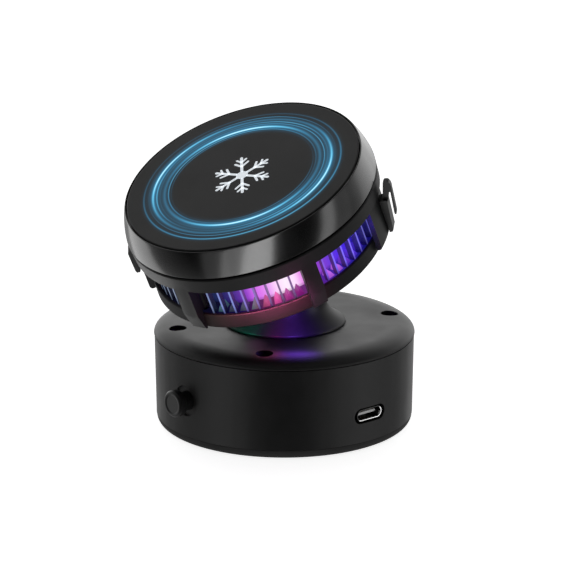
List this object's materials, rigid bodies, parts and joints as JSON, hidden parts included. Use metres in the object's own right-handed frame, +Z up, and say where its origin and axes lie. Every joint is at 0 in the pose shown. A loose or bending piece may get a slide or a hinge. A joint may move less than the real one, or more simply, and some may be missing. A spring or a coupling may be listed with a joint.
{
  "type": "magnetic phone cooler with suction base",
  "caption": "Round magnetic phone cooler head with lit heat-sink windows, hook clips and fan, on a ball-jointed neck and a round suction base with button and USB-C inlet.",
  "frame": {"origin": "centre of the underside of the base, on the plane it stands on", "axes": "+Z up, -Y the front (the head leans that way and the button is there), +X the inlet side"},
  "size_m": [0.0722, 0.083, 0.0874],
  "materials": {
    "black_plastic": "fine-textured matte black moulding",
    "gloss_black": "polished piano black",
    "face_panel": "satin black panel with printed glowing rings",
    "button_plastic": "satin black",
    "dark_plastic": "dark grey moulding",
    "fan_plastic": "smoked dark moulding",
    "white_plastic": "natural white acetal",
    "rubber": "matt black silicone",
    "steel": "turned steel",
    "bright_steel": "nickel plated",
    "dark_steel": "black oxide steel",
    "aluminium": "machined",
    "fin_aluminium": "die-cast, lit by the lamps",
    "copper": "enamelled winding",
    "brass": "sintered bearing bronze",
    "white_ceramic": "alumina plates",
    "circuit_board": "green solder mask",
    "circuit_board_black": "black solder mask",
    "cell_wrap": "heat-shrink wrap",
    "guide_clear": "milky light guide, lit by the lamps",
    "led_clear": "moulded lamp lens, lit"
  },
  "bodies": {
    "base": {"base_shell": "black_plastic", "base_cover": "black_plastic", "cover_screws": "dark_steel", "suction_pad": "rubber", "pad_clamp_ring": "steel", "pump_motor": "steel", "pump_head": "white_plastic", "pump_diaphragm": "rubber", "air_hose": "white_plastic", "battery": "cell_wrap", "control_board": "circuit_board", "usb_c_shell": "bright_steel", "usb_c_tongue": "black_plastic", "tact_switch": "dark_plastic", "button_spring": "steel", "neck_post": "black_plastic", "neck_screws": "steel", "socket_collar": "black_plastic"},
    "pump_rotor": {"pump_shaft": "steel"},
    "button": {"power_button": "button_plastic"},
    "swivel": {"socket_liner": "white_plastic"},
    "ball": {"ball_stud": "bright_steel", "stud_clip": "dark_steel"},
    "head": {"face_plate": "face_panel", "bezel_ring": "gloss_black", "magnet_ring": "bright_steel", "charging_coil": "copper", "ferrite_sheet": "dark_plastic", "cold_plate": "aluminium", "cooling_module": "white_ceramic", "foam_frame": "rubber", "driver_board": "circuit_board", "heat_sink": "fin_aluminium", "led_board": "circuit_board_black", "led_lenses": "led_clear", "light_guide": "guide_clear", "fan_mount": "dark_plastic", "fan_bearing": "brass", "fan_stator": "copper", "rear_housing": "black_plastic", "rear_cover": "black_plastic", "rear_screws": "dark_steel", "hook_right": "black_plastic", "hook_left": "black_plastic"},
    "fan": {"fan_rotor": "fan_plastic", "fan_shaft": "steel", "rotor_magnet": "dark_plastic"}
  },
  "joints": [
    {"name": "head_swivel", "type": "hinge", "parent": "base", "child": "swivel", "pos_m": [0, 0, 0.0379], "axis": [0, 0, 1], "range_deg": [-180, 180]},
    {"name": "head_tilt", "type": "hinge", "parent": "swivel", "child": "ball", "pos_m": [0, 0, 0.0379], "axis": [1, 0, 0], "range_deg": [-59, 8.9]},
    {"name": "head_spin", "type": "hinge", "parent": "ball", "child": "head", "pos_m": [0, 0, 0.0379], "axis": [0, -0.4242, 0.9056], "range_deg": [-180, 180]},
    {"name": "fan_turn", "type": "hinge", "parent": "head", "child": "fan", "pos_m": [0, -0.00933, 0.05782], "axis": [0, -0.4242, 0.9056], "continuous": true},
    {"name": "pump_turn", "type": "hinge", "parent": "base", "child": "pump_rotor", "pos_m": [-0.0195, 0, 0.0132], "axis": [0, 1, 0], "continuous": true},
    {"name": "button_press", "type": "slide", "parent": "base", "child": "button", "axis": [0.0958, 0.9954, 0], "range_m": [0, 0.0018], "stiffness_N_per_m": 400, "springref_m": -0.0006, "deforming": ["button_spring"]}
  ]
}
